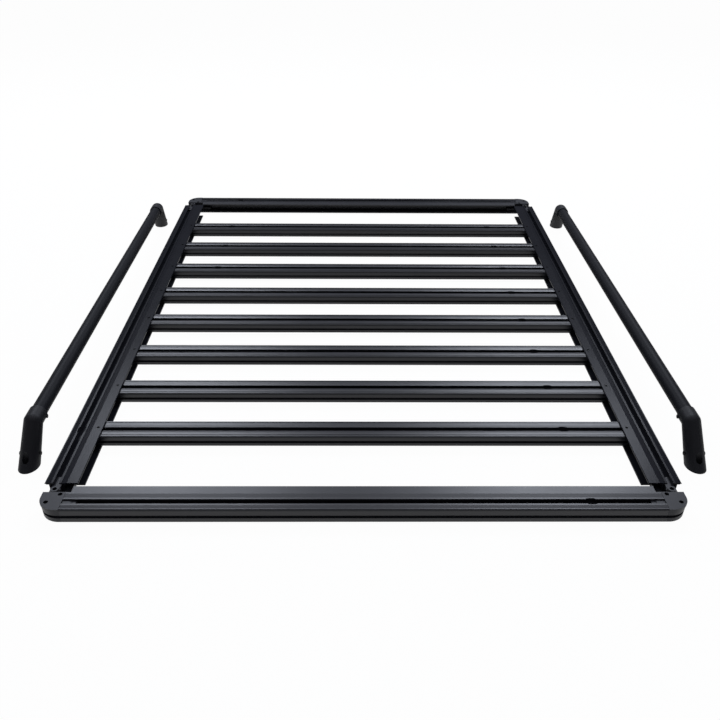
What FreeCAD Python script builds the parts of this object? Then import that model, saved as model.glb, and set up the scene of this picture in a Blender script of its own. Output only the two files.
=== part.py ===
import FreeCAD, Part
import math
import os

import Sketcher

# Vehicle platform roof rack: a rectangle of slotted extrusions joined by four cast corners,
# eight slotted slats screwed under the side rails, and two tubular side rails on moulded legs
# that stand beside the platform. X runs across the vehicle, Y along it, and the floor is at Z = 0.

doc = FreeCAD.newDocument("roof_rack")

# Driving dimensions in millimetres and degrees

DIMENSIONS = {
    # platform
    "platform_width": 1349,
    "platform_length": 1749,
    "fit_clearance": 0.3,
    # section of the side rails and end bars
    "profile_width": 71,
    "profile_height": 34,
    "plate_thickness": 3.4,
    "flange_thickness": 3.4,
    "outer_lip_width": 18,
    "slot_width": 13,
    "slot_lip_thickness": 4,
    "chamber_width": 25,
    "chamber_height": 10,
    "channel_wall_place": 40,
    "slot_bead_width": 4.5,
    "edge_bead_width": 4,
    "top_band_width": 12,
    "top_band_drop": 1.2,
    "edge_chamfer": 1,
    # outer side of the rails, bars and slats, from the top down
    "outer_chamfer": 2,
    "outer_bead_height": 2.8,
    "undercut_height": 1.8,
    "undercut_depth": 3,
    "face_inset": 0.8,
    "groove_height": 7,
    "groove_depth": 4.5,
    "outer_flange_height": 10,
    # ends of the rails and bars
    "rail_end_inset": 80,
    "rail_skirt_cut_length": 30,
    "rail_skirt_cut_depth": 9,
    "rail_flange_cut_length": 30,
    "rail_flange_cut_depth": 20,
    "bar_end_inset": 54.5,
    "bar_notch_length": 11,
    "bar_notch_depth": 19,
    # slats
    "slat_width": 59,
    "slat_groove_height": 6.5,
    "slat_groove_depth": 5,
    "slat_flange_height": 7.5,
    "slat_dip_width": 7,
    "slat_dip_depth": 0.8,
    "slat_edge_bead_width": 5.5,
    "slat_line_width": 2.4,
    "front_slat_inset": 270,
    "rear_slat_inset": 280,
    # wide places in the slots that let bolt heads in
    "entry_hole_width": 18,
    "entry_hole_length": 27,
    "entry_hole_inset": 207.5,
    "rail_entry_hole_inset": 262,
    # screws through the rails into the slats
    "slat_screw_inset": 11,
    "slat_screw_diameter": 4,
    "slat_screw_length": 14,
    "slat_screw_head_diameter": 6.4,
    "slat_screw_head_height": 1.2,
    "slat_screw_recess": 2.7,
    # cast corners
    "corner_radius": 37,
    "corner_depth": 52.5,
    "corner_plate_inset": 7,
    "corner_face_inset": 7,
    "corner_face_radius": 39,
    "corner_lower_inset": 6,
    "corner_lower_radius": 43,
    "key_height": 10,
    "key_width": 14,
    "key_length": 38,
    "lug_width": 21,
    "lug_length": 28,
    "rail_lug_height": 5,
    "tongue_length": 18,
    "tongue_drop": 3,
    "ear_boss_diameter": 17,
    "ear_boss_drop": 1.5,
    "corner_screw_hole_diameter": 9.5,
    "corner_screw_hole_depth": 11,
    "corner_screw_head_diameter": 8.5,
    "corner_screw_head_height": 6,
    "ear_screw_from_side": 27,
    "ear_screw_from_end": 64,
    "inner_screw_from_side": 44.5,
    "inner_screw_from_end": 46,
    "outer_screw_from_side": 22.5,
    "outer_screw_from_end": 22.5,
    # tubular side rails
    "tube_diameter": 35,
    "tube_wall": 1.6,
    "tube_height": 84,
    "tube_gap": 64,
    "front_bend_inset": 229,
    "rear_bend_inset": 247,
    # moulded legs
    "leg_top_diameter": 41,
    "leg_foot_diameter": 46,
    "leg_run": 55,
    "leg_spread": 8,
    "socket_length": 11,
    "collar_boss_diameter": 9,
    "collar_boss_stand": 1,
    "collar_boss_drop": 6,
    "foot_bolt_diameter": 9,
    "foot_bolt_offset": 8,
    "foot_bolt_seat": 9,
    "foot_pocket_diameter": 15,
    "leg_screw_height": 24,
    "leg_screw_diameter": 9,
    "leg_screw_stand": 1.6,
    "leg_screw_depth": 6,
}
SLAT_COUNT = 8
SLATS_WITH_LEFT_ENTRY_HOLE = (6, 7, 8)

sheet = doc.addObject("Spreadsheet::Sheet", "Sizes")
for row, (alias, value) in enumerate(DIMENSIONS.items(), start=1):
    sheet.set("A%d" % row, alias)
    sheet.set("B%d" % row, str(value))
    sheet.setAlias("B%d" % row, alias)
doc.recompute()


class Size:
    """A length written as an expression over the sheet's cells."""

    def __init__(self, text):
        self.text = str(text)

    def join(self, sign, other):
        return Size("(%s %s %s)" % (self.text, sign, other.text if isinstance(other, Size) else other))

    def __add__(self, other):
        return self.join("+", other)

    def __sub__(self, other):
        return self.join("-", other)

    def __mul__(self, other):
        return self.join("*", other)

    def __truediv__(self, other):
        return self.join("/", other)

    def __neg__(self):
        return Size("(0 - %s)" % self.text)


def size(alias):
    return Size("Sizes." + alias)


ZERO = Size("0")
UPWARD = FreeCAD.Vector(0, 0, 1)
half_width = size("platform_width") / 2
half_length = size("platform_length") / 2
clear = size("fit_clearance")

# Building blocks

parts = []


def finish(shape_object, label):
    """Takes an object as a finished piece under its own name."""
    shape_object.Label = label
    parts.append(shape_object)
    return shape_object


def place(target, x=ZERO, y=ZERO, z=ZERO, turn=ZERO, axis=("0", "0", "1")):
    """Binds a placement: a position and a turn in degrees about an axis."""
    position = "vector(%s; %s; %s)" % (x.text, y.text, z.text)
    rotation = "rotation(vector(%s; %s; %s); %s)" % (axis[0], axis[1], axis[2], turn.text)
    target.setExpression("Placement", "placement(%s; %s)" % (position, rotation))


def new_body(name):
    return doc.addObject("PartDesign::Body", name)


def new_sketch(body, name, role, level=ZERO):
    """A sketch on one of the body's origin planes, raised to a level along the plane's normal."""
    sketch = body.newObject("Sketcher::SketchObject", name)
    plane = [feature for feature in body.Origin.OriginFeatures if feature.Role == role][0]
    sketch.AttachmentSupport = (plane, [""])
    sketch.MapMode = "FlatFace"
    sketch.setExpression("AttachmentOffset.Base.z", level.text)
    return sketch


def value_of(length):
    """The present value of a bound length, to start a sketch near its final shape."""
    return float(sheet.evalExpression(length.text))


def point_at(x, y):
    return FreeCAD.Vector(value_of(x), value_of(y), 0)


def hold(sketch, kind, edge, vertex, distance):
    """Holds one coordinate of a sketch point at a bound distance from the sketch's origin."""
    index = sketch.addConstraint(Sketcher.Constraint(kind, -1, 1, edge, vertex, value_of(distance)))
    sketch.setExpression("Constraints[%d]" % index, distance.text)


def fix_point(sketch, edge, vertex, x, y):
    hold(sketch, "DistanceX", edge, vertex, x)
    hold(sketch, "DistanceY", edge, vertex, y)


def draw_outline(sketch, points):
    """A closed run of straight lines whose corners are bound to the sheet."""
    corners = [point_at(x, y) for x, y in points]
    first = sketch.GeometryCount
    for number, start in enumerate(corners):
        end = corners[(number + 1) % len(corners)]
        sketch.addGeometry(Part.LineSegment(start, end), False)
    for number, (x, y) in enumerate(points):
        following = (number + 1) % len(points)
        sketch.addConstraint(Sketcher.Constraint("Coincident", first + number, 2, first + following, 1))
        fix_point(sketch, first + number, 1, x, y)


def draw_box(sketch, x0, x1, y0, y1):
    draw_outline(sketch, [(x0, y0), (x1, y0), (x1, y1), (x0, y1)])


def draw_rounded_box(sketch, x0, x1, y0, y1, radius):
    """A rectangle whose corner at x0, y0 is a quarter round."""
    points = [(x0 + radius, y0), (x1, y0), (x1, y1), (x0, y1), (x0, y0 + radius)]
    corners = [point_at(x, y) for x, y in points]
    for start, end in zip(corners, corners[1:]):
        sketch.addGeometry(Part.LineSegment(start, end), False)
    circle = Part.Circle(point_at(x0 + radius, y0 + radius), UPWARD, value_of(radius))
    last = len(points) - 2
    arc = sketch.addGeometry(Part.ArcOfCircle(circle, math.pi, 1.5 * math.pi), False)
    for number in range(last):
        sketch.addConstraint(Sketcher.Constraint("Coincident", number, 2, number + 1, 1))
    sketch.addConstraint(Sketcher.Constraint("Coincident", last, 2, arc, 1))
    sketch.addConstraint(Sketcher.Constraint("Coincident", arc, 2, 0, 1))
    for number, (x, y) in enumerate(points[:-1]):
        fix_point(sketch, number, 1, x, y)
    fix_point(sketch, last, 2, *points[-1])
    index = sketch.addConstraint(Sketcher.Constraint("Radius", arc, value_of(radius)))
    sketch.setExpression("Constraints[%d]" % index, radius.text)


def draw_obround(sketch, x, y, width, length, axis):
    """A hole with two straight sides and round ends, long in X or in Y."""
    radius = width / 2
    straight = (length - width) / 2
    if axis == "X":
        sides = [(x - straight, y - radius), (x + straight, y - radius),
                 (x + straight, y + radius), (x - straight, y + radius)]
        centres = [(x + straight, y), (x - straight, y)]
        start = -math.pi / 2
    else:
        sides = [(x + radius, y - straight), (x + radius, y + straight),
                 (x - radius, y + straight), (x - radius, y - straight)]
        centres = [(x, y + straight), (x, y - straight)]
        start = 0
    first = sketch.GeometryCount
    for number, centre in enumerate(centres):
        begin, end = sides[2 * number:2 * number + 2]
        line = sketch.addGeometry(Part.LineSegment(point_at(*begin), point_at(*end)), False)
        circle = Part.Circle(point_at(*centre), UPWARD, value_of(radius))
        turn = start + number * math.pi
        arc = sketch.addGeometry(Part.ArcOfCircle(circle, turn, turn + math.pi), False)
        fix_point(sketch, line, 1, *begin)
        fix_point(sketch, line, 2, *end)
        hold(sketch, "Distance" + axis, arc, 3, centre["XY".index(axis)])
    for number in range(4):
        following = first + (number + 1) % 4
        sketch.addConstraint(Sketcher.Constraint("Coincident", first + number, 2, following, 1))


def draw_circle(sketch, x, y, diameter):
    edge = sketch.addGeometry(Part.Circle(point_at(x, y), UPWARD, value_of(diameter) / 2), False)
    fix_point(sketch, edge, 3, x, y)
    index = sketch.addConstraint(Sketcher.Constraint("Diameter", edge, value_of(diameter)))
    sketch.setExpression("Constraints[%d]" % index, diameter.text)


def pad(body, sketch, length, both_ways=False):
    feature = body.newObject("PartDesign::Pad", sketch.Name + "_pad")
    feature.Profile = sketch
    feature.setExpression("Length", length.text)
    if both_ways:
        feature.SideType = "Symmetric"
    doc.recompute()
    return feature


def pocket(body, sketch, depth):
    """Cuts down from the sketch, and makes sure that something was cut."""
    before = body.Shape.Volume
    feature = body.newObject("PartDesign::Pocket", sketch.Name + "_pocket")
    feature.Profile = sketch
    feature.setExpression("Length", depth.text)
    doc.recompute()
    if not body.Shape.Volume < before:
        raise RuntimeError(sketch.Name + " cuts nothing")
    return feature


def cylinder(name, diameter, height):
    shape = doc.addObject("Part::Cylinder", name)
    shape.setExpression("Radius", (diameter / 2).text)
    shape.setExpression("Height", height.text)
    return shape


def fuse(name, pieces):
    joined = doc.addObject("Part::MultiFuse", name)
    joined.Shapes = pieces
    return joined


def cut(name, base, tool):
    result = doc.addObject("Part::Cut", name)
    result.Base = base
    result.Tool = tool
    return result


def gather(name, pieces):
    group = doc.addObject("Part::Compound", name)
    group.Links = pieces
    return group


def mirror(source, label, across, middle=ZERO):
    """The same piece on the other side of the X centre plane, or of a Y plane at the middle."""
    copy = doc.addObject("Part::Mirroring", label)
    copy.Source = source
    copy.Normal = across
    copy.setExpression("Base.y", middle.text)
    return finish(copy, label)


ACROSS_X = FreeCAD.Vector(1, 0, 0)
ACROSS_Y = FreeCAD.Vector(0, 1, 0)


def mirror_to_four(source, name, middle=ZERO):
    """A front left piece and its three mirror images."""
    finish(source, "front_left_" + name)
    mirror(source, "front_right_" + name, ACROSS_X)
    rear = mirror(source, "rear_left_" + name, ACROSS_Y, middle)
    mirror(rear, "rear_right_" + name, ACROSS_X)


# Section shared by the side rails and end bars, measured from the outer edge inwards

top = size("profile_height")
chamfer = size("edge_chamfer")
slot_outer = size("outer_lip_width")
slot_inner = slot_outer + size("slot_width")
slot_middle = slot_outer + size("slot_width") / 2
chamber_outer = slot_middle - size("chamber_width") / 2
chamber_inner = slot_middle + size("chamber_width") / 2
chamber_top = top - size("slot_lip_thickness")
chamber_floor = chamber_top - size("chamber_height")
outer_chamfer = size("outer_chamfer")
undercut = size("undercut_depth")
face_inset = size("face_inset")
groove = size("groove_depth")
flange_top = size("outer_flange_height")
groove_top = flange_top + size("groove_height")
bead_bottom = top - size("outer_bead_height")
face_top = bead_bottom - size("undercut_height")
wall_place = size("channel_wall_place")
channel_floor = size("flange_thickness")
channel_top = top - size("plate_thickness")
inner_bead = slot_inner + size("slot_bead_width")
outer_bead = slot_outer - size("slot_bead_width")
edge_bead = size("edge_bead_width")
band_end = inner_bead + size("top_band_width")
band_low = top - size("top_band_drop")
inner_edge = size("profile_width")


def perimeter_section():
    return [
        (ZERO, ZERO),
        (inner_edge, ZERO),
        (inner_edge, channel_floor),
        (wall_place, channel_floor),
        (wall_place, channel_top),
        (inner_edge, channel_top),
        (inner_edge, top - chamfer),
        (inner_edge - chamfer, top),
        (band_end, top),
        (inner_bead, band_low),
        (inner_bead, top),
        (slot_inner, top),
        (slot_inner, chamber_top),
        (chamber_inner, chamber_top),
        (chamber_inner, chamber_floor),
        (chamber_outer, chamber_floor),
        (chamber_outer, chamber_top),
        (slot_outer, chamber_top),
        (slot_outer, top),
        (outer_bead, top),
        (edge_bead, band_low),
        (edge_bead, top),
        (outer_chamfer, top),
        (ZERO, top - outer_chamfer),
        (ZERO, bead_bottom),
        (undercut, bead_bottom),
        (undercut, face_top),
        (face_inset, face_top),
        (face_inset, groove_top),
        (groove, groove_top),
        (groove, flange_top),
        (ZERO, flange_top),
    ]


def perimeter_bar(label, length):
    """One length of the section, lying along Y with its outer edge on the YZ plane."""
    body = new_body(label)
    section = new_sketch(body, label + "_section", "XZ_Plane")
    draw_outline(section, perimeter_section())
    pad(body, section, length, both_ways=True)
    return body


def cut_entry_hole(body, along):
    """A wide place in the slot where a bolt head can drop in."""
    holes = new_sketch(body, body.Name + "_entry_hole", "XY_Plane", top)
    draw_obround(holes, slot_middle, along, size("entry_hole_width"), size("entry_hole_length"), "Y")
    pocket(body, holes, size("slot_lip_thickness"))


# Side rails

rail_length = size("platform_length") - size("rail_end_inset") * 2
slat_row = size("platform_length") - size("front_slat_inset") - size("rear_slat_inset")
first_slat = size("front_slat_inset") - half_length
slat_places = [first_slat + slat_row * number / (SLAT_COUNT - 1) for number in range(SLAT_COUNT)]
screw_place = inner_edge - size("slat_screw_inset")


def cut_skirt_ends(body):
    """Takes the outer side away under the lip at both ends, beside the corners."""
    skirts = new_sketch(body, body.Name + "_skirt_ends", "XY_Plane", face_top)
    tip = rail_length / 2
    inside = tip - size("rail_skirt_cut_length")
    draw_box(skirts, -clear, size("rail_skirt_cut_depth"), inside, tip + clear)
    draw_box(skirts, -clear, size("rail_skirt_cut_depth"), -tip - clear, -inside)
    pocket(body, skirts, face_top + clear)


def cut_flange_ends(body):
    """Cuts the lower flange back at both ends, short of the end bars."""
    flanges = new_sketch(body, body.Name + "_flange_ends", "XY_Plane", size("flange_thickness") + clear)
    tip = rail_length / 2
    inside = tip - size("rail_flange_cut_length")
    side = inner_edge - size("rail_flange_cut_depth")
    draw_box(flanges, side, inner_edge + clear, inside, tip + clear)
    draw_box(flanges, side, inner_edge + clear, -tip - clear, -inside)
    pocket(body, flanges, size("flange_thickness") + clear * 2)


def cut_screw_holes(body, places):
    """A counterbored hole over each slat end."""
    heads = new_sketch(body, body.Name + "_screw_heads", "XY_Plane", top)
    shanks = new_sketch(body, body.Name + "_screw_shanks", "XY_Plane", top)
    for along in places:
        draw_circle(heads, screw_place, along, size("slat_screw_head_diameter") + clear * 2)
        draw_circle(shanks, screw_place, along, size("slat_screw_diameter") + clear)
    pocket(body, heads, size("slat_screw_recess"))
    pocket(body, shanks, size("plate_thickness"))


left_rail = perimeter_bar("left_side_rail", rail_length)
cut_skirt_ends(left_rail)
cut_flange_ends(left_rail)
cut_screw_holes(left_rail, slat_places)
cut_entry_hole(left_rail, size("rail_entry_hole_inset") - half_length)
place(left_rail, x=-half_width)
finish(left_rail, "left_side_rail")

right_rail = perimeter_bar("right_side_rail", rail_length)
cut_skirt_ends(right_rail)
cut_flange_ends(right_rail)
cut_screw_holes(right_rail, [-along for along in slat_places])
place(right_rail, x=half_width, turn=Size("180"))
finish(right_rail, "right_side_rail")

# End bars

bar_length = size("platform_width") - size("bar_end_inset") * 2


def cut_notches(body):
    """Notches at both ends of the inner plate, clear of the rail ends."""
    notches = new_sketch(body, body.Name + "_notches", "XY_Plane", top)
    notch_start = inner_edge - size("bar_notch_depth")
    bar_end = bar_length / 2
    inside = bar_end - size("bar_notch_length")
    draw_box(notches, notch_start, inner_edge + clear, inside, bar_end + clear)
    draw_box(notches, notch_start, inner_edge + clear, -bar_end - clear, -inside)
    pocket(body, notches, size("plate_thickness"))


front_bar = perimeter_bar("front_bar", bar_length)
cut_notches(front_bar)
cut_entry_hole(front_bar, size("entry_hole_inset") - half_width)
place(front_bar, y=-half_length, turn=Size("90"))
finish(front_bar, "front_bar")

rear_bar = perimeter_bar("rear_bar", bar_length)
cut_notches(rear_bar)
cut_entry_hole(rear_bar, size("entry_hole_inset") - half_width)
place(rear_bar, y=half_length, turn=Size("-90"))
finish(rear_bar, "rear_bar")

# Slats, seated on the lower flanges of the side rails

slat_floor = channel_floor
slat_height = channel_top - clear - slat_floor
slat_length = size("platform_width") - (wall_place + clear) * 2


def slat_section():
    """One half of the section follows the other, mirrored about the slot."""
    middle = size("slat_width") / 2
    half_slot = size("slot_width") / 2
    half_chamber = size("chamber_width") / 2
    under_lip = slat_height - size("slot_lip_thickness")
    under_bead = slat_height - size("outer_bead_height")
    face = middle - face_inset
    face_end = under_bead - size("undercut_height")
    flange = size("slat_flange_height")
    groove_end = flange + size("slat_groove_height")
    side = middle - size("slat_groove_depth")
    dip = size("slat_dip_depth")
    line = middle - size("slat_edge_bead_width")
    line_end = line - size("slat_line_width")
    half = [
        (middle, ZERO),
        (middle, flange),
        (side, flange),
        (side, groove_end),
        (face, groove_end),
        (face, face_end),
        (middle - undercut, face_end),
        (middle - undercut, under_bead),
        (middle, under_bead),
        (middle, slat_height - outer_chamfer),
        (middle - outer_chamfer, slat_height),
        (line, slat_height),
        (line, slat_height - dip),
        (line_end, slat_height - dip),
        (line_end, slat_height),
        (half_slot + size("slat_dip_width"), slat_height),
        (half_slot, slat_height - dip),
        (half_slot, under_lip),
        (half_chamber, under_lip),
        (half_chamber, under_lip - size("chamber_height")),
    ]
    right = [(middle + offset, level) for offset, level in half]
    left = [(middle - offset, level) for offset, level in reversed(half)]
    return right + left


def slat_entry_holes(number):
    """Places of the entry holes along a slat: all have one near the right end."""
    right = half_width - size("entry_hole_inset")
    if number in SLATS_WITH_LEFT_ENTRY_HOLE:
        return [right, -right]
    return [right]


for number, along in enumerate(slat_places, start=1):
    label = "slat_%d" % number
    slat = new_body(label)
    section = new_sketch(slat, label + "_section", "YZ_Plane")
    draw_outline(section, slat_section())
    pad(slat, section, slat_length, both_ways=True)
    holes = new_sketch(slat, label + "_entry_holes", "XY_Plane", slat_height)
    for across in slat_entry_holes(number):
        centre = size("slat_width") / 2
        draw_obround(holes, across, centre, size("entry_hole_width"), size("entry_hole_length"), "X")
    pocket(slat, holes, size("slot_lip_thickness"))
    place(slat, y=along - size("slat_width") / 2, z=slat_floor)
    finish(slat, label)

# Screws that hold the slats, one node for each side rail


def slat_screw(name, x, y):
    head = cylinder(name + "_head", size("slat_screw_head_diameter"), size("slat_screw_head_height"))
    head_seat = top - size("slat_screw_recess")
    place(head, x=x, y=y, z=head_seat)
    shank = cylinder(name + "_shank", size("slat_screw_diameter"), size("slat_screw_length"))
    place(shank, x=x, y=y, z=head_seat - size("slat_screw_length"))
    return fuse(name, [head, shank])


for side, x in (("left", screw_place - half_width), ("right", half_width - screw_place)):
    screws = [
        slat_screw("%s_slat_screw_%d" % (side, number), x, along)
        for number, along in enumerate(slat_places, start=1)
    ]
    finish(gather(side + "_slat_screws_set", screws), side + "_slat_screws")

# Cast corners, drawn from the outer corner of the platform inwards

corner_reach = size("bar_end_inset") - clear
corner_depth = size("corner_depth")
rail_end = size("rail_end_inset")
bar_end = size("bar_end_inset")

corner = new_body("corner")

lower_side = size("corner_lower_inset")
lower_radius = size("corner_lower_radius")
corner_layers = (
    ("lower", ZERO, flange_top, lower_side, ZERO, lower_radius),
    ("groove", flange_top, groove_top, lower_side + groove, groove, lower_radius - groove),
    ("face", groove_top, face_top, size("corner_face_inset"), face_inset, size("corner_face_radius")),
    ("plate", face_top, top, size("corner_plate_inset"), ZERO, size("corner_radius")),
)
for name, bottom, ceiling, side_inset, end_inset, radius in corner_layers:
    layer = new_sketch(corner, "corner_" + name, "XY_Plane", bottom)
    draw_rounded_box(layer, side_inset, corner_reach, end_inset, corner_depth, radius)
    pad(corner, layer, ceiling - bottom)

# The key lies in the open channels of the rail and the bar
key_near = wall_place + clear
key_far = key_near + size("key_width")
key_bar_tip = bar_end + size("key_length")
key_rail_tip = rail_end + size("key_length")
key = new_sketch(corner, "corner_key", "XY_Plane", channel_floor + clear)
draw_outline(key, [
    (key_near, key_near),
    (key_bar_tip, key_near),
    (key_bar_tip, key_far),
    (key_far, key_far),
    (key_far, key_rail_tip),
    (key_near, key_rail_tip),
])
pad(corner, key, size("key_height"))

# The lugs slide into the slot chambers, and the ear carries the rail's lug across the gap
lug_low = slot_middle - size("lug_width") / 2
lug_high = slot_middle + size("lug_width") / 2
lug_floor = chamber_floor + clear
lug_height = size("chamber_height") - clear * 2
lugs = new_sketch(corner, "corner_rail_lug", "XY_Plane", lug_floor)
draw_box(lugs, lug_low, lug_high, corner_depth / 2, rail_end + size("lug_length"))
pad(corner, lugs, size("rail_lug_height"))
bar_lug = new_sketch(corner, "corner_bar_lug", "XY_Plane", lug_floor)
draw_box(bar_lug, corner_reach / 2, bar_end + size("lug_length"), lug_low, lug_high)
pad(corner, bar_lug, lug_height)
tongue = new_sketch(corner, "corner_bar_tongue", "XY_Plane", lug_floor)
draw_box(tongue, corner_reach / 2, bar_end + size("tongue_length"), slot_outer + clear, slot_inner - clear)
pad(corner, tongue, top - size("tongue_drop") - lug_floor)
ear = new_sketch(corner, "corner_ear", "XY_Plane", channel_floor)
draw_box(ear, lug_low, lug_high, corner_depth / 2, rail_end - clear)
pad(corner, ear, lug_floor - channel_floor)
boss = new_sketch(corner, "corner_ear_boss", "XY_Plane", lug_floor)
draw_circle(boss, size("ear_screw_from_side"), size("ear_screw_from_end"), size("ear_boss_diameter"))
pad(corner, boss, top - size("ear_boss_drop") - lug_floor)

corner_screw_places = (
    (size("ear_screw_from_side"), size("ear_screw_from_end"), top - size("ear_boss_drop")),
    (size("inner_screw_from_side"), size("inner_screw_from_end"), top),
    (size("outer_screw_from_side"), size("outer_screw_from_end"), top),
)
hole_depth = size("corner_screw_hole_depth")
for number, (x, y, level) in enumerate(corner_screw_places, start=1):
    screw_hole = new_sketch(corner, "corner_screw_hole_%d" % number, "XY_Plane", level)
    draw_circle(screw_hole, x, y, size("corner_screw_hole_diameter"))
    pocket(corner, screw_hole, hole_depth)
place(corner, x=-half_width, y=-half_length)
mirror_to_four(corner, "corner")

corner_screws = []
for number, (x, y, level) in enumerate(corner_screw_places, start=1):
    head = cylinder("corner_screw_%d" % number, size("corner_screw_head_diameter"), size("corner_screw_head_height"))
    place(head, x=x - half_width, y=y - half_length, z=level - hole_depth)
    corner_screws.append(head)
mirror_to_four(gather("corner_screw_set", corner_screws), "corner_screws")

# Tubular side rails

tube_place = half_width + size("tube_gap")
tube_height = size("tube_height")
bend_place = half_length - size("front_bend_inset")
rear_bend = half_length - size("rear_bend_inset")
tube_length = bend_place + rear_bend
tube_middle = (rear_bend - bend_place) / 2
for side, x in (("left", -tube_place), ("right", tube_place)):
    skin = cylinder(side + "_tube_skin", size("tube_diameter"), tube_length)
    hollow = cylinder(side + "_tube_hollow", size("tube_diameter") - size("tube_wall") * 2, tube_length)
    for shape in (skin, hollow):
        place(shape, x=x, y=rear_bend, z=tube_height, turn=Size("90"), axis=("1", "0", "0"))
    finish(cut(side + "_tube_wall", skin, hollow), side + "_side_tube")

# Moulded legs: a socket around the tube's end, a bend and a shank that leans out to its foot

spread = size("leg_spread")
run = size("leg_run")
foot_x = -tube_place - spread
foot_y = -bend_place - run
shank_slope = "sqrt(%s ^ 2 + %s ^ 2)" % (spread.text, run.text)
lean = Size("atan2(%s; %s)" % (shank_slope, tube_height.text))
lean_axis = (run.text, (-spread).text, "0")
foot_overrun = size("leg_foot_diameter")
drop = Size("sqrt(%s ^ 2 + %s ^ 2 + %s ^ 2)" % (spread.text, run.text, tube_height.text))
taper = (size("leg_foot_diameter") - size("leg_top_diameter")) / 2 / drop

shank = doc.addObject("Part::Cone", "leg_shank")
shank.setExpression("Radius1", (size("leg_top_diameter") / 2).text)
shank.setExpression("Radius2", (size("leg_foot_diameter") / 2 + taper * foot_overrun).text)
shank.setExpression("Height", (drop + foot_overrun).text)
place(shank, x=-tube_place, y=-bend_place, z=tube_height, turn=Size("180 deg") - lean, axis=lean_axis)
knee = doc.addObject("Part::Sphere", "leg_knee")
knee.setExpression("Radius", (size("leg_top_diameter") / 2).text)
place(knee, x=-tube_place, y=-bend_place, z=tube_height)
socket_reach = size("leg_top_diameter") / 2 + size("socket_length")
socket = cylinder("leg_socket", size("leg_top_diameter"), socket_reach)
place(socket, x=-tube_place, y=-bend_place, z=tube_height, turn=Size("-90"), axis=("1", "0", "0"))
boss_diameter = size("collar_boss_diameter")
collar_boss = cylinder("leg_collar_boss", boss_diameter, size("leg_top_diameter") / 2 + size("collar_boss_stand"))
boss_y = socket_reach - boss_diameter / 2 - size("collar_boss_stand") - bend_place
boss_z = tube_height - size("collar_boss_drop")
place(collar_boss, x=-tube_place, y=boss_y, z=boss_z, turn=Size("90"), axis=("0", "1", "0"))
leg_blank = fuse("leg_blank", [shank, knee, socket, collar_boss])

bore = cylinder("leg_tube_bore", size("tube_diameter") + clear, socket_reach * 2)
place(bore, x=-tube_place, y=-bend_place - clear, z=tube_height, turn=Size("-90"), axis=("1", "0", "0"))
bolt_y = foot_y - size("foot_bolt_offset")
bolt_hole = cylinder("leg_bolt_hole", size("foot_bolt_diameter"), tube_height)
place(bolt_hole, x=foot_x, y=bolt_y, z=-tube_height / 2)
bolt_pocket = cylinder("leg_bolt_pocket", size("foot_pocket_diameter"), tube_height)
place(bolt_pocket, x=foot_x, y=bolt_y, z=size("foot_bolt_seat"))
floor_block = doc.addObject("Part::Box", "leg_floor_block")
for side in ("Length", "Width", "Height"):
    floor_block.setExpression(side, (drop * 4).text)
place(floor_block, x=foot_x - drop * 2, y=foot_y - drop * 2, z=-drop * 4)

screw_share = size("leg_screw_height") / tube_height
screw_x = -tube_place - spread * (Size("1") - screw_share)
screw_y = -bend_place - run * (Size("1") - screw_share)
shank_radius = size("leg_foot_diameter") / 2 - taper * drop * screw_share
leg_screw_holes = []
leg_screws = []
for name, turn, sign in (("outer", Size("-90"), -1), ("inner", Size("90"), 1)):
    depth = size("leg_screw_depth")
    seat = shank_radius - depth
    hole = cylinder("leg_screw_hole_" + name, size("leg_screw_diameter") + clear, depth * 3)
    place(hole, x=screw_x + seat * sign, y=screw_y, z=size("leg_screw_height"), turn=turn, axis=("0", "1", "0"))
    leg_screw_holes.append(hole)
    button = cylinder("leg_screw_" + name, size("leg_screw_diameter"), depth + size("leg_screw_stand"))
    place(button, x=screw_x + seat * sign, y=screw_y, z=size("leg_screw_height"), turn=turn, axis=("0", "1", "0"))
    leg_screws.append(button)
leg_tools = fuse("leg_tools", [bore, bolt_hole, bolt_pocket, floor_block] + leg_screw_holes)
mirror_to_four(cut("leg_body", leg_blank, leg_tools), "leg", tube_middle)
mirror_to_four(gather("leg_screw_set", leg_screws), "leg_screws", tube_middle)

# Checks and export

doc.recompute()
for item in doc.Objects:
    if "Invalid" in item.State or "Error" in item.State:
        raise RuntimeError("%s failed: %s" % (item.Label, item.State))
for item in parts:
    if item.Shape.isNull() or not item.Shape.isValid():
        raise RuntimeError(item.Label + " has no valid shape")

os.makedirs("parts", exist_ok=True)
for item in parts:
    item.Shape.exportStep(os.path.join("parts", item.Label + ".step"))
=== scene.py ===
import math

import bmesh
import bpy
from mathutils import Matrix, Vector


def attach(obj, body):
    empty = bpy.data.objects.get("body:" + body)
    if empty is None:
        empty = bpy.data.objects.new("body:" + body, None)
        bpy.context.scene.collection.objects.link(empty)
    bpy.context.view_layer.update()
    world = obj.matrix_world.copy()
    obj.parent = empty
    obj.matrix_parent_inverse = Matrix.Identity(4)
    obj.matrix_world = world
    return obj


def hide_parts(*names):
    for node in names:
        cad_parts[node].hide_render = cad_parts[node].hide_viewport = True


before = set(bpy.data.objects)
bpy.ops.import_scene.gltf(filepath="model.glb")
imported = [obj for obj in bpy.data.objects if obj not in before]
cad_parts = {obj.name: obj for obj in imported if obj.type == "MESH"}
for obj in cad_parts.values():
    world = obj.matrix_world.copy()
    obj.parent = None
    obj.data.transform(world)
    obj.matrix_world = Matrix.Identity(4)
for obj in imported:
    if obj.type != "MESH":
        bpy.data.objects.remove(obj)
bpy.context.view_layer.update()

# Side rails and end bars
# Four lengths of one aluminium extrusion with a bolt slot along the top and an open channel
# on the inner side. They are powder coated in satin black after cutting and drilling.

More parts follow.
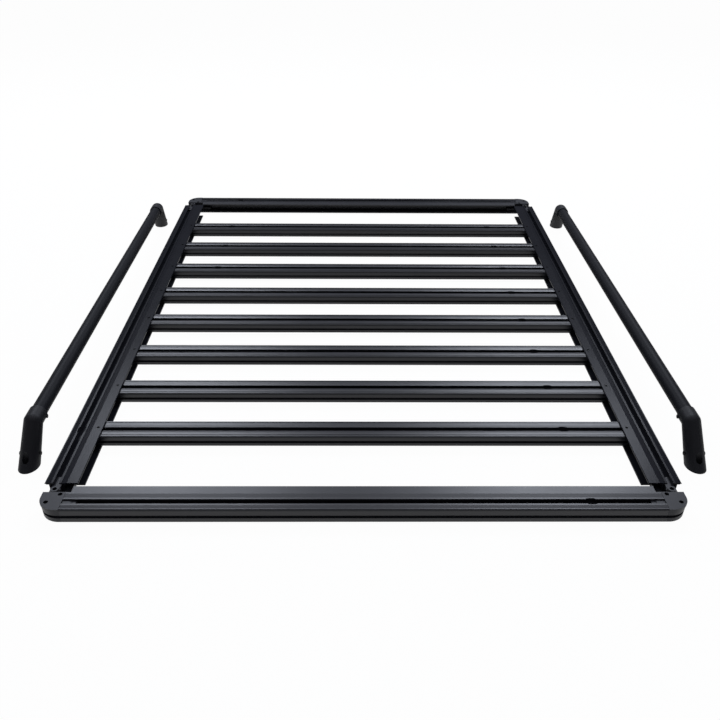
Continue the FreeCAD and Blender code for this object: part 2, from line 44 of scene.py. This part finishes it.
BAR_COLOUR = (0.0135, 0.0142, 0.0180)
# The rail colour is the bars' black coat set darker as painted shade for the dimmer sheen the rails
# catch.
RAIL_SHADED_COLOUR = (0.0105, 0.0112, 0.0145)
PEEL_SIZE = 0.0009
PEEL_DEPTH = 0.00006
CLOUDS_PER_METRE = 9.0
CLOUD_SHARE = 0.6
SHADE_SPREAD = 0.18
CLOUD_SHEEN = 0.10
GRAIN_SHEEN = 0.06
BUMP_STRENGTH = 0.05


class Socket:
    """A value in a material's node tree, so that shader maths reads as plain arithmetic."""

    def __init__(self, tree, socket):
        self.tree = tree
        self.socket = socket

    def math(self, operation, first, second):
        node = add_node(self.tree, "ShaderNodeMath", {"operation": operation}, {0: first, 1: second})
        return Socket(self.tree, node.outputs[0])

    def __add__(self, other):
        return self.math("ADD", self, other)

    __radd__ = __add__

    def __mul__(self, other):
        return self.math("MULTIPLY", self, other)

    __rmul__ = __mul__


def add_node(tree, kind, settings=None, inputs=None):
    """Adds a node, sets its settings, then fills or links its sockets."""
    node = tree.nodes.new(kind)
    for name, value in (settings or {}).items():
        setattr(node, name, value)
    for name, value in (inputs or {}).items():
        if isinstance(value, Socket):
            tree.links.new(value.socket, node.inputs[name])
        else:
            node.inputs[name].default_value = value
    return node


def coated_finish(name, colour, roughness, grain_size, grain_depth, specular):
    """A satin black coat with a fine grain, and a slightly cloudy shade and sheen."""
    material = bpy.data.materials.new(name)
    material.use_nodes = True
    tree = material.node_tree
    shader = tree.nodes["Principled BSDF"]
    place = Socket(tree, add_node(tree, "ShaderNodeTexCoord").outputs["Object"])
    grain = add_node(tree, "ShaderNodeTexNoise", {"noise_dimensions": "3D"},
                     {"Vector": place, "Scale": 1 / grain_size, "Detail": 3.0, "Roughness": 0.55})
    cloud = add_node(tree, "ShaderNodeTexNoise", {"noise_dimensions": "3D"},
                     {"Vector": place, "Scale": CLOUDS_PER_METRE, "Detail": 4.0, "Roughness": 0.6})
    fine = Socket(tree, grain.outputs["Fac"])
    broad = Socket(tree, cloud.outputs["Fac"])
    shade = add_node(tree, "ShaderNodeMix", {"data_type": "RGBA"},
                     {"Factor": broad * CLOUD_SHARE + fine * (1 - CLOUD_SHARE),
                      "A": [(1 - SHADE_SPREAD) * level for level in colour] + [1],
                      "B": [(1 + SHADE_SPREAD) * level for level in colour] + [1]})
    tree.links.new(shade.outputs["Result"], shader.inputs["Base Color"])
    smoothest = roughness - (CLOUD_SHEEN + GRAIN_SHEEN) / 2
    sheen = broad * CLOUD_SHEEN + fine * GRAIN_SHEEN + smoothest
    tree.links.new(sheen.socket, shader.inputs["Roughness"])
    bump = add_node(tree, "ShaderNodeBump", {},
                    {"Height": fine, "Distance": grain_depth, "Strength": BUMP_STRENGTH})
    tree.links.new(bump.outputs["Normal"], shader.inputs["Normal"])
    shader.inputs["Specular IOR Level"].default_value = specular
    return material


def dress(nodes, material):
    """Gives CAD nodes their finish through their material slots."""
    for node in nodes:
        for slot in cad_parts[node].material_slots:
            slot.material = material


bar_coat = coated_finish("bar_powder_coat", BAR_COLOUR, roughness=0.38,
                         grain_size=PEEL_SIZE, grain_depth=PEEL_DEPTH, specular=0.38)
dress(["front_bar", "rear_bar"], bar_coat)
# Same coat as the bars, with its colour darkened as painted shade.
rail_coat_with_painted_shade = coated_finish("rail_powder_coat_painted_shade", RAIL_SHADED_COLOUR, roughness=0.24,
                          grain_size=PEEL_SIZE, grain_depth=PEEL_DEPTH, specular=0.06)
dress(["left_side_rail", "right_side_rail"], rail_coat_with_painted_shade)

# Slats
# Eight cross slats of a lower slotted extrusion, in the same coat, whose ends lie in the
# open channels of the side rails.

slat_coat = coated_finish("slat_powder_coat", BAR_COLOUR, roughness=0.36,
                          grain_size=PEEL_SIZE, grain_depth=PEEL_DEPTH, specular=0.38)
dress([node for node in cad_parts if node.startswith("slat_")], slat_coat)

# Corners
# Die-cast aluminium corners with the same black coat over a slightly coarser skin.

CAST_COLOUR = (0.0128, 0.0136, 0.0172)
cast_coat = coated_finish("cast_coat", CAST_COLOUR, roughness=0.44,
                          grain_size=0.0013, grain_depth=0.0001, specular=0.28)
dress([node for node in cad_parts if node.endswith("_corner")], cast_coat)

# Side tubes
# Drawn round tube, coated in the same black, pushed into the legs at both ends.

TUBE_COLOUR = (0.0110, 0.0116, 0.0140)
tube_coat = coated_finish("tube_coat", TUBE_COLOUR, roughness=0.50,
                          grain_size=0.004, grain_depth=0.00001, specular=0.06)
dress(["left_side_tube", "right_side_tube"], tube_coat)

# Legs
# Moulded black plastic legs with an even, dull texture.

LEG_COLOUR = (0.0135, 0.0139, 0.0162)
leg_plastic = coated_finish("moulded_leg", LEG_COLOUR, roughness=0.54,
                            grain_size=0.0030, grain_depth=0.00002, specular=0.16)
dress([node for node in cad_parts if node.endswith("_leg")], leg_plastic)

# Screws
# Black plated steel screws with six-sided sockets, sunk in the corners, the side rails and the
# legs. Each one stands where its plain CAD screw stands and takes the size of its box; the slat
# screws also get a round shank.

# The screw colour is partly the real black plating and partly painted shade: it is set darker still to
# stand for the shade in the sunk recesses and sockets.
SCREW_BLACK_AND_PAINTED_SHADE = (0.004, 0.004, 0.0044)
SOCKET_SHARE = 0.58
SLAT_HEAD_HEIGHT = 0.0012
SLAT_SHANK_RADIUS = 0.002
HEAD_SIDES = 36
SHANK_SIDES = 24
SAME_POINT = 1e-6
# Black plating with painted recess shade added to its colour.
screw_black_and_painted_shade = coated_finish("black_plated_screw_painted_shade", SCREW_BLACK_AND_PAINTED_SHADE, roughness=0.4,
                            grain_size=0.0004, grain_depth=0.00003, specular=0.08)


def screw_boxes(node):
    """The box around each separate screw of a CAD node, in order of place."""
    shape = bmesh.new()
    shape.from_mesh(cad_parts[node].data)
    bmesh.ops.remove_doubles(shape, verts=shape.verts, dist=SAME_POINT)
    waiting = set(shape.verts)
    boxes = []
    while waiting:
        group = [waiting.pop()]
        for vertex in group:
            near = [edge.other_vert(vertex) for edge in vertex.link_edges]
            fresh = [other for other in near if other in waiting]
            waiting.difference_update(fresh)
            group.extend(fresh)
        low = Vector([min(vertex.co[axis] for vertex in group) for axis in range(3)])
        high = Vector([max(vertex.co[axis] for vertex in group) for axis in range(3)])
        boxes.append((low, high))
    shape.free()
    return sorted(boxes, key=lambda box: tuple(box[0]))


def draw_down(mesh, ring, depth):
    """Draws a closed ring of vertices down into a wall and closes its foot."""
    members = set(ring)
    edges = [edge for edge in mesh.edges if members.issuperset(edge.verts)]
    drawn = bmesh.ops.extrude_edge_only(mesh, edges=edges)["geom"]
    foot = [item for item in drawn if isinstance(item, bmesh.types.BMVert)]
    bmesh.ops.translate(mesh, verts=foot, vec=(0, 0, -depth))
    members = set(foot)
    bmesh.ops.edgeloop_fill(mesh, edges=[edge for edge in mesh.edges if members.issuperset(edge.verts)])
    return foot


def add_socket_head(mesh, place, radius, height):
    """A round head with a six-sided socket in its top, which lies on the place's XY plane."""
    rim = bmesh.ops.create_circle(mesh, segments=HEAD_SIDES, radius=radius)["verts"]
    socket = bmesh.ops.create_circle(mesh, segments=6, radius=radius * SOCKET_SHARE)["verts"]
    loops = set(rim + socket)
    bmesh.ops.bridge_loops(mesh, edges=[edge for edge in mesh.edges if edge.verts[0] in loops])
    made = rim + socket + draw_down(mesh, socket, height / 2) + draw_down(mesh, rim, height)
    bmesh.ops.transform(mesh, matrix=place, verts=made)


def finish_screws(node, mesh):
    """Turns the drawn screws into one piece that stands for the CAD node."""
    bmesh.ops.recalc_face_normals(mesh, faces=mesh.faces)
    data = bpy.data.meshes.new(node + "_socket_heads")
    mesh.to_mesh(data)
    mesh.free()
    data.materials.append(screw_black_and_painted_shade)
    piece = bpy.data.objects.new(node + "_socket_heads", data)
    bpy.context.scene.collection.objects.link(piece)
    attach(piece, "root")
    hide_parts(node)


for node in [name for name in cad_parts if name.endswith("_corner_screws")]:
    mesh = bmesh.new()
    for low, high in screw_boxes(node):
        centre = (low + high) / 2
        place = Matrix.Translation((centre.x, centre.y, high.z))
        add_socket_head(mesh, place, (high.x - low.x) / 2, high.z - low.z)
    finish_screws(node, mesh)

for node in ("left_slat_screws", "right_slat_screws"):
    mesh = bmesh.new()
    for low, high in screw_boxes(node):
        centre = (low + high) / 2
        place = Matrix.Translation((centre.x, centre.y, high.z))
        add_socket_head(mesh, place, (high.x - low.x) / 2, SLAT_HEAD_HEIGHT)
        shank = high.z - SLAT_HEAD_HEIGHT - low.z
        bmesh.ops.create_cone(mesh, cap_ends=True, segments=SHANK_SIDES, radius1=SLAT_SHANK_RADIUS,
                              radius2=SLAT_SHANK_RADIUS, depth=shank,
                              matrix=Matrix.Translation((centre.x, centre.y, low.z + shank / 2)))
    finish_screws(node, mesh)

for node in [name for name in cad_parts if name.endswith("_leg_screws")]:
    mesh = bmesh.new()
    pair = screw_boxes(node)
    leg_middle = sum(low.x + high.x for low, high in pair) / (2 * len(pair))
    for low, high in pair:
        centre = (low + high) / 2
        outward = math.copysign(1, centre.x - leg_middle)
        tip = high.x if outward > 0 else low.x
        lie = Matrix.Rotation(outward * math.pi / 2, 4, "Y")
        place = Matrix.Translation((tip, centre.y, centre.z)) @ lie
        add_socket_head(mesh, place, (high.z - low.z) / 2, high.x - low.x)
    finish_screws(node, mesh)

# Studio
# A wide white floor and backdrop, two large soft boxes high behind the rack, and a room that
# is brightest overhead and dark near the horizon.

FLOOR_REACH = 40
FLOOR_GREY = (0.85, 0.85, 0.85, 1)
FLOOR_GLOW_SHARE = 0.97
WHITE = (1, 1, 1, 1)
HORIZON = (0.04, 0.04, 0.047, 1)
OVERHEAD = (1.0, 1.01, 1.1, 1)
LAMP_PLACE = Vector((1.5, 2.6, 2.9))
LAMP_TARGET = Vector((0.2, -0.3, 0))
LAMP_WIDTH = 1.5
LAMP_HEIGHT = 1.2
LAMP_COLOUR = (0.88, 0.93, 1.04)
LEFT_POWER = 70
RIGHT_POWER = 76

floor_mesh = bmesh.new()
bmesh.ops.create_grid(floor_mesh, x_segments=1, y_segments=1, size=FLOOR_REACH)
floor_data = bpy.data.meshes.new("studio_floor")
floor_mesh.to_mesh(floor_data)
floor_mesh.free()
floor = bpy.data.objects.new("studio_floor", floor_data)
bpy.context.scene.collection.objects.link(floor)

floor_paint = bpy.data.materials.new("pale_floor")
floor_paint.use_nodes = True
tree = floor_paint.node_tree
tree.nodes.clear()
path = add_node(tree, "ShaderNodeLightPath")
seen = Socket(tree, path.outputs["Is Camera Ray"]) + Socket(tree, path.outputs["Is Glossy Ray"])
seen = seen + Socket(tree, path.outputs["Is Transmission Ray"])
matt = add_node(tree, "ShaderNodeBsdfDiffuse", {}, {"Color": FLOOR_GREY})
glow = add_node(tree, "ShaderNodeEmission", {}, {"Color": WHITE, "Strength": 1.0})
blend = add_node(tree, "ShaderNodeMixShader", {}, {0: seen * FLOOR_GLOW_SHARE})
tree.links.new(matt.outputs[0], blend.inputs[1])
tree.links.new(glow.outputs[0], blend.inputs[2])
surface = add_node(tree, "ShaderNodeOutputMaterial")
tree.links.new(blend.outputs[0], surface.inputs["Surface"])
floor_data.materials.append(floor_paint)

world = bpy.data.worlds.new("studio_world")
bpy.context.scene.world = world
world.use_nodes = True
air = world.node_tree
direction = Socket(air, add_node(air, "ShaderNodeTexCoord").outputs["Generated"])
upward = add_node(air, "ShaderNodeSeparateXYZ", {}, {"Vector": direction})
rise = Socket(air, upward.outputs["Z"])
room = add_node(air, "ShaderNodeMix", {"data_type": "RGBA"},
                {"Factor": rise * rise * rise, "A": HORIZON, "B": OVERHEAD})
looked_at = Socket(air, add_node(air, "ShaderNodeLightPath").outputs["Is Camera Ray"])
backdrop = add_node(air, "ShaderNodeMix", {"data_type": "RGBA"},
                    {"Factor": looked_at, "A": Socket(air, room.outputs["Result"]), "B": WHITE})
air.links.new(backdrop.outputs["Result"], air.nodes["Background"].inputs["Color"])

for name, side, power in (("left_soft_box", -1, LEFT_POWER), ("right_soft_box", 1, RIGHT_POWER)):
    lamp = bpy.data.lights.new(name, "AREA")
    lamp.shape = "RECTANGLE"
    lamp.size = LAMP_WIDTH
    lamp.size_y = LAMP_HEIGHT
    lamp.energy = power
    lamp.color = LAMP_COLOUR
    holder = bpy.data.objects.new(name, lamp)
    handed = Vector((side, 1, 1))
    holder.location = LAMP_PLACE * handed
    aim = (LAMP_TARGET - LAMP_PLACE) * handed
    holder.rotation_euler = aim.to_track_quat("-Z", "Y").to_euler()
    bpy.context.scene.collection.objects.link(holder)

# Camera
# Stands in front of the near end and looks down along the rack.

FRAME_PIXELS = 720
FOCAL_PIXELS = 753.66
CAMERA_PLACE = (-0.02716, -1.99377, 1.11479)
LOOK_DOWN = math.radians(32.760)
TURN = math.radians(-0.732)
ROLL = math.radians(0.491)

lens = bpy.data.cameras.new("photo_camera")
lens.sensor_width = 36
lens.lens = lens.sensor_width * FOCAL_PIXELS / FRAME_PIXELS
lens.clip_end = 200
camera = bpy.data.objects.new("photo_camera", lens)
tilt = Matrix.Rotation(math.pi / 2 - LOOK_DOWN, 4, "X")
aim = Matrix.Rotation(TURN, 4, "Z") @ tilt @ Matrix.Rotation(ROLL, 4, "Z")
camera.matrix_world = Matrix.Translation(CAMERA_PLACE) @ aim
bpy.context.scene.collection.objects.link(camera)
bpy.context.scene.camera = camera
bpy.context.scene.view_settings.view_transform = "Standard"
